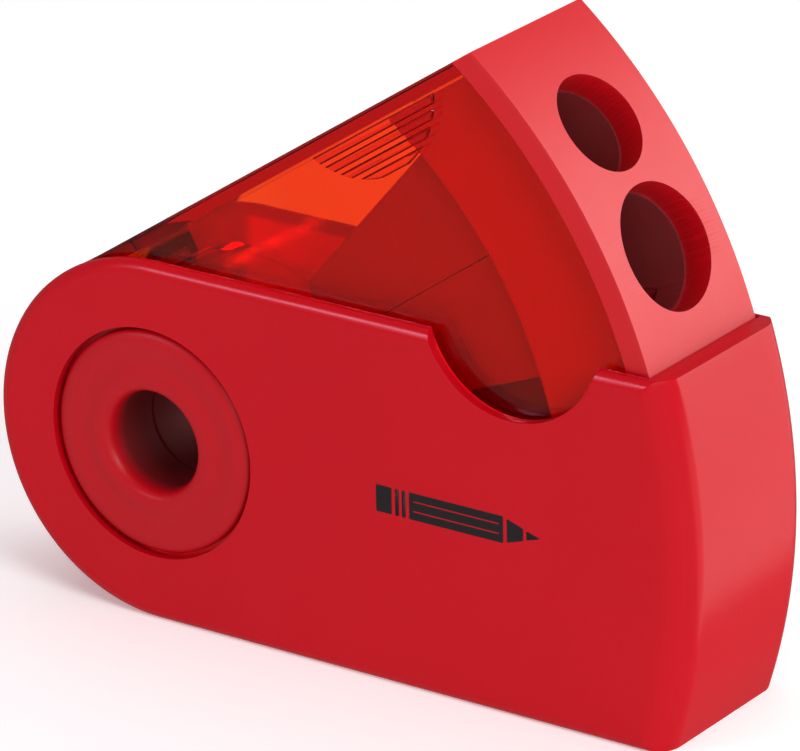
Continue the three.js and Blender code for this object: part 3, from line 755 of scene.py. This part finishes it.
def shavings_box_body():
    """The outer shape is eased first. The rooms and recesses cut from it keep nearly sharp edges."""
    low, high = angle_at(BOX_BOTTOM, MOUTH_RADIUS), angle_at(BOX_TOP, MOUTH_RADIUS)
    outer = np.concatenate([arc(MOUTH_RADIUS, low, high, 72), [(0, BOX_TOP)],
                            arc(BOX_TOP, STOP_ANGLE, STOP_ANGLE, 1),
                            arc(BOX_END_RADIUS, STOP_ANGLE, 270, 120)])
    inside = BOX_HALF - BOX_WALL
    roof, floor = BOX_TOP - BOX_ROOF, BOX_BOTTOM + BOX_WALL
    top, bottom = (math.degrees(math.acos(x / HUB_WALL)) for x in CHAMBER_LEFT)
    chamber = np.concatenate([[(FAR, floor), (FAR, roof), (CHAMBER_LEFT[0], roof)],
                              arc(HUB_WALL, top, -bottom, 120), [(CHAMBER_LEFT[1], floor)]])
    hub_room = np.concatenate([arc(BOX_END_RADIUS - BOX_WALL, STOP_ANGLE, 270, 96),
                               [(HUB_ROOM_RIGHT, floor), (HUB_ROOM_RIGHT, 0)]])
    nail_centre = arc(NAIL_REACH, NAIL_ANGLE, NAIL_ANGLE, 1)
    body = both_sides(outer, BOX_HALF).eased(0.2, 3)
    body = body - both_sides(chamber, inside) - both_sides(hub_room, inside)
    body = body - (both_sides(chamber, inside + STEP_DEPTH) & wall_thinner(inside))
    body = body - both_sides(circle(BOSS_RADIUS + BEARING_FIT), THROUGH)
    for side in (-1, 1):
        body = body - one_side(circle(NAIL_RADIUS, nail_centre), side, BOX_HALF - NAIL_DEPTH,
                               THROUGH, edge=(NAIL_SLOPE, NAIL_DEPTH), steps=2)
    return joined([body.eased(0.04, 1), grip_bars(-1), grip_bars(1)])


finish("shavings_box", shavings_box_body(), "swinging_box", "shavings_container",
       CLEAR_RED, SWUNG)

# %% [markdown]
# ## The head
# A curved plate with two holes that both point at the hub. Behind it a thin skirt plugs into the
# box. The plate is a touch wider than the box, so its flange stands proud all round.

# %% Head, with each hole's angle and radius
HOLES = {"small": (7.07, 4.32), "large": (-5.46, 5.29)}


def head_body():
    """The skirt is a block that follows the plate, cut back to SKIRT_RADIUS and hollowed out. Its
    height has 0.05 mm more play than its width."""
    inner = HEAD_RADIUS - HEAD_PLATE
    low, high = angle_at(BOX_BOTTOM, HEAD_RADIUS), angle_at(BOX_TOP, HEAD_RADIUS)
    inner_low, inner_high = angle_at(BOX_BOTTOM, inner), angle_at(BOX_TOP, inner)
    loop = np.concatenate([arc(HEAD_RADIUS, low, high, 90), arc(inner, inner_high, inner_low, 90)])
    top, bottom = BOX_TOP - BOX_ROOF - SKIRT_FIT - 0.05, BOX_BOTTOM + BOX_WALL + SKIRT_FIT + 0.05
    half = BOX_HALF - BOX_WALL - SKIRT_FIT
    hollow = sector(20, bottom + SKIRT_ROOF, top - SKIRT_ROOF, HEAD_RADIUS - HEAD_THICK)
    skirt = both_sides(sector(30, bottom, top, inner + 1), half)
    skirt = skirt - both_sides(circle(SKIRT_RADIUS, count=720), THROUGH)
    skirt = skirt - both_sides(hollow, half - SKIRT_WALL)
    body = both_sides(loop, HEAD_HALF) + skirt
    for angle, radius in HOLES.values():
        body = body - rod([(44, radius), (56, radius)], angle, 128)
    return body.eased(0.32, 3)


finish("head_plate", head_body(), "swinging_box", "head_cover", HEAD_RED, SWUNG)

# %% [markdown]
# ## The two sharpeners
# Each is drawn once along +X, blade uppermost: a block with a conical bore, a cheek that guards
# the blade's side, a collar behind the head plate, and a slot where shavings leave. The large one
# is the same design turned over, so both blades cut as the pencil turns clockwise.

# %% Sharpener sizes
SHARPENERS = {
    "small": dict(angle=HOLES["small"][0], flip=0, mouth=4.1, slope=11.5, cheek=7.28,
                  cheek_slope=0.156, collar=7.3, blade_back=27.0, screw=34.5),
    "large": dict(angle=HOLES["large"][0], flip=math.pi, mouth=5.0, slope=12.0, cheek=6.8,
                  cheek_slope=0.115, collar=6.9, blade_back=24.5, screw=31.0),
}
SPLIT, BODY_HALF, BODY_FRONT, BODY_BACK, COLLAR = 1.5, 5.45, 47.37, 20.5, 1.8
MOUTH_AT, SEAT_DROP, TIP_RADIUS = 47.2, 0.2, 0.45
EDGE_Y, SCREW_Y, SCREW_RADIUS, SCREW_HOLE, CHEEK = -0.2, 2.9, 0.9, 1.1, 0.85
BLADE_GAP, BLADE, BLADE_WIDTH, BLADE_BEVEL, SLOT_WIDTH = 0.15, 0.8, 4.6, 1.0, 3.0


def cone_radius(spec, at):
    """The bore's radius at a distance from the hub."""
    return spec["mouth"] - (MOUTH_AT - at) * math.tan(math.radians(spec["slope"]))


def seat(spec, at):
    """The height of the face that the blade lies on."""
    return cone_radius(spec, at) - SEAT_DROP


def cheek(spec, at):
    """The height of the cheeks' sloping top."""
    return spec["cheek"] - (MOUTH_AT - at) * spec["cheek_slope"]


def on_seat(body, spec):
    """Moves a body drawn about the screw, with the blade's seat flat, onto the sloping seat."""
    tilt = np.array(Matrix.Rotation(-math.radians(spec["slope"]), 3, "Y"))
    move_points(body.object.data, tilt, (spec["screw"], SCREW_Y, seat(spec, spec["screw"])))
    return body


def upright(body):
    """Turns a body drawn about the Y axis so that it stands on Z."""
    body.object.data.transform(Matrix.Rotation(math.pi / 2, 4, "X"))
    return body


# %% Dark red, with painted shade in the bore
def body_red(size, spec):
    """The bore's mask compares the distance from its axis, |p - (p . u) u|, with the cone's radius
    at that depth. u is the axis and p the place measured from the hub."""
    turn = OPEN_ANGLE + math.radians(spec["angle"])

    # Painted shade: this mask darkens the cone of the sharpener's bore.
    def painted_shade_in_cone(shader):
        x, y, z = shader.from_hub()
        along = x * math.cos(turn) + z * math.sin(turn)
        aside = z * math.cos(turn) - x * math.sin(turn)
        cone = spec["mouth"] + (along - MOUTH_AT) * math.tan(math.radians(spec["slope"]))
        return ((aside * aside + y * y) ** 0.5).under(cone + 0.25, 1 / 6)

    return moulded_red(f"{size}_body_red", (0.27, 0.006, 0.016), (0.33, 0.009, 0.020), 0.42, 0.004,
                       painted_shade=painted_shade_in_cone)


# %% Sharpener bodies
def sharpener_body(spec):
    """The underside follows the plane through the hub, at SPLIT degrees, that parts the two bodies."""
    fall = math.tan(math.radians(abs(spec["angle"] - SPLIT)))
    front, step = BODY_FRONT + 1, spec["blade_back"] - 0.3

    def low(at):
        return -at * fall + 0.03

    block = np.array([(BODY_BACK, low(BODY_BACK)), (front, low(front)), (front, seat(spec, front)),
                      (step, seat(spec, step)), (step, cheek(spec, step)),
                      (BODY_BACK, cheek(spec, BODY_BACK))])
    guard = np.array([(step - 1, low(step - 1)), (front, low(front)), (front, cheek(spec, front)),
                      (step - 1, cheek(spec, step - 1))])
    collar_back = BODY_FRONT - COLLAR
    collar = np.array([(collar_back, low(collar_back) + 0.2), (front, low(collar_back) + 0.2),
                       (front, spec["collar"]), (collar_back, spec["collar"])])
    slope = math.tan(math.radians(spec["slope"]))
    slot_back, slot_front = MOUTH_AT - spec["mouth"] / slope + 3, collar_back - 0.6
    slot = np.array([(slot_back, seat(spec, slot_back) - 0.7),
                     (slot_front, seat(spec, slot_front) - 1.4),
                     (slot_front, FAR), (slot_back, FAR)])
    tip = MOUTH_AT - (spec["mouth"] - TIP_RADIUS) / slope
    bore = rod([(tip, TIP_RADIUS), (MOUTH_AT + 2, cone_radius(spec, MOUTH_AT + 2))], 0, 128)
    hole = on_seat(upright(both_sides(circle(SCREW_HOLE, count=48), 3.2)), spec)
    body = both_sides(soften(block, [0.1, 0.1, 0.1, 0.1, 0.4, 1.4]), BODY_HALF)
    body = body + plate(guard, -BODY_HALF, CHEEK - BODY_HALF)
    body = body + plate(guard, BODY_HALF - CHEEK, BODY_HALF) + both_sides(collar, BODY_HALF)
    body = body & both_sides(circle(BODY_FRONT, count=720), THROUGH)
    body = body - bore - plate(slot, EDGE_Y - SLOT_WIDTH, EDGE_Y) - hole
    return body.eased(0.12, 2)


# %% Blades and screws
def blade_body(spec):
    """A ground strip: its cutting side is a long bevel, the other sides are square."""
    tilt = math.cos(math.radians(spec["slope"]))
    ends = (spec["blade_back"], BODY_FRONT - COLLAR - 0.5)
    back, front = ((at - spec["screw"]) / tilt for at in ends)
    near, far = EDGE_Y - SCREW_Y, EDGE_Y - SCREW_Y + BLADE_WIDTH
    section = np.array([(near, BLADE_GAP), (far, BLADE_GAP), (far, BLADE_GAP + BLADE),
                        (near + BLADE_BEVEL, BLADE_GAP + BLADE)])
    rings = np.stack([np.column_stack([np.full(4, x), section]) for x in (back, front)])
    strip = Body(ring_mesh(rings))
    hole = upright(both_sides(circle(SCREW_HOLE, count=48), 4))
    return on_seat((strip - hole).eased(0.05, 2, 30), spec)


def screw_body(spec):
    """A slotted pan head on a threaded shank with a blunt point, turned from one profile."""
    under = 2 * BLADE_GAP + BLADE
    thread = [(SCREW_RADIUS - 0.16 * (k % 2), 0.35 - 0.27 * k) for k in range(11)]
    profile = [(0.05, under + 0.6), (0.7, under + 0.56), (1.15, under + 0.36), (1.4, under + 0.12),
               (1.4, under), (SCREW_RADIUS, under)] + thread + [(0.5, -3.0), (0.05, -3.0)]
    screw = upright(turned(np.array(profile) * (1, -1), False, 64))
    slot = plate(np.array([(-3, under + 0.3), (3, under + 0.3), (3, 9), (-3, 9)]), -0.2, 0.2)
    return on_seat(screw - slot, spec)


for size, spec in SHARPENERS.items():
    turn = Matrix.Rotation(-OPEN_ANGLE - math.radians(spec["angle"]), 3, "Y")
    pose = np.array(turn @ Matrix.Rotation(spec["flip"], 3, "X"))
    finish(f"{size}_body", sharpener_body(spec), "swinging_box", f"{size}_sharpener_body",
           body_red(size, spec), pose)
    finish(f"{size}_ground_blade", blade_body(spec), "swinging_box", f"{size}_blade",
           BLADE_STEEL, pose)
    finish(f"{size}_pan_screw", screw_body(spec), "swinging_box", f"{size}_blade_screw",
           SCREW_STEEL, pose)

# %% [markdown]
# ## The printed mark
# The front carries a small black print. Here it is a plain pictogram of a pencil: rubber, ferrule,
# painted barrel, bare wood and lead, each a film a few hundredths of a millimetre thick.


# %% Printed mark
MARK_AT, FILM, BARREL_HALF = (22.4, 0.4), 0.02, 1.15


def on_front(start, end, half_start, half_end, height=0.0):
    """A level strip's loop of four corners, tapering from one half height to the other."""
    loop = np.array([(start, -half_start), (end, -half_end), (end, half_end), (start, half_start)])
    return loop + (0.0, height) + MARK_AT


def printed_mark():
    """Six flat shapes side by side along x, as (start, end, half height at each end)."""
    shapes = [(0.0, 1.5, BARREL_HALF, BARREL_HALF), (1.85, 2.2, BARREL_HALF, BARREL_HALF),
              (2.5, 2.85, BARREL_HALF, BARREL_HALF), (3.2, 12.2, BARREL_HALF, BARREL_HALF),
              (12.55, 14.1, 1.02, 0.52), (14.4, 15.6, 0.4, 0.04)]
    mark = joined([plate(soften(on_front(*shape), 0.12), -HALF_WIDTH - FILM, -HALF_WIDTH + FILM)
                   for shape in shapes])
    for height in (-0.42, 0.42):
        line = on_front(3.6, 11.8, 0.06, 0.06, height)
        mark = mark - plate(line, -HALF_WIDTH - 1, -HALF_WIDTH + 1)
    return mark


finish("printed_pencil_mark", printed_mark(), "sleeve_group", None, INK)

# %% [markdown]
# ## Floor and light
# A saturated red stays saturated when it has little to mirror: here the sky is dim, and glossy
# rays pass the white floor and the broad overhead lamp. The floor glows a little, as a light table
# does, so clear plastic is lit from below. A softbox at the back on the right lies in the mirror
# direction of the curved head, and a white card on the floor there in that of the wide end, so those
# two turn paler than the front. The key lamp is on the right, and one under the camera reaches in
# through the finger notch. A small pinkish lamp at the front left reaches into the open box, and
# draws glints on the rounded edges.


# %% Studio
OBJECT_MIDDLE = (0.0, 0.0, 0.025)


def add_sheet(name, low, high, height, white, glow):
    """A level rectangle from low to high (x, y) whose paint is white and which glows a little."""
    mesh = bpy.data.meshes.new(name)
    mesh.from_pydata([(low[0], low[1], height), (high[0], low[1], height),
                      (high[0], high[1], height), (low[0], high[1], height)], [], [(0, 1, 2, 3)])
    shader = Shader(name)
    speckle = shader.noise(0.02, 2)
    mesh.materials.append(shader.show(shader.principled(
        Base_Color=shader.between((white - 0.02,) * 3, (white,) * 3, speckle), Roughness=0.6,
        Emission_Color=(1.0, 1.0, 1.0, 1), Emission_Strength=glow)))
    sheet = bpy.data.objects.new(name, mesh)
    bpy.context.scene.collection.objects.link(sheet)
    return sheet


def add_softbox(name, place, size, watts, colour=(1.0, 1.0, 1.0), mirrored=True):
    """A rectangular lamp at place that faces the object's middle. mirrored lets it show as a
    highlight in glossy faces."""
    data = bpy.data.lights.new(name, "AREA")
    data.shape = "RECTANGLE"
    data.size, data.size_y = size
    data.energy = watts
    data.color = colour
    lamp = bpy.data.objects.new(name, data)
    bpy.context.scene.collection.objects.link(lamp)
    away = Vector(place) - Vector(OBJECT_MIDDLE)
    lamp.matrix_world = Matrix.LocRotScale(place, away.to_track_quat("Z", "Y"), None)
    lamp.visible_camera = False
    lamp.visible_glossy = mirrored


def add_sky(strength):
    """White light of the same strength from all round."""
    world = bpy.data.worlds.new("sky")
    world.use_nodes = True
    background = world.node_tree.nodes["Background"]
    background.inputs["Color"].default_value = (1.0, 1.0, 1.0, 1)
    background.inputs["Strength"].default_value = strength
    bpy.context.scene.world = world


floor = add_sheet("floor", (-3, -3), (3, 3), 0.0, 0.97, 0.2)
floor.visible_glossy = False
card = add_sheet("floor_card", (0.045, 0.0), (0.6, 0.6), 0.0005, 0.9, 0.2)
card.visible_camera = False
card.visible_diffuse = False
card.visible_shadow = False
add_softbox("key", (0.50, -0.22, 0.36), (0.25, 0.25), 2.1)
add_softbox("back_right", (0.46, 0.56, 0.26), (0.5, 0.45), 3.3)
add_softbox("below_camera", (0.39, -0.62, 0.26), (0.25, 0.2), 0.8)
add_softbox("front_left", (-0.40, -0.60, 0.32), (0.13, 0.1), 1.3, (1.0, 0.6, 0.82))
add_softbox("overhead", (0.0, 0.0, 1.3), (1.6, 1.6), 7.0, mirrored=False)
add_sky(0.22)
bpy.context.scene.view_settings.view_transform = "Standard"
print(len(finished), "pieces")
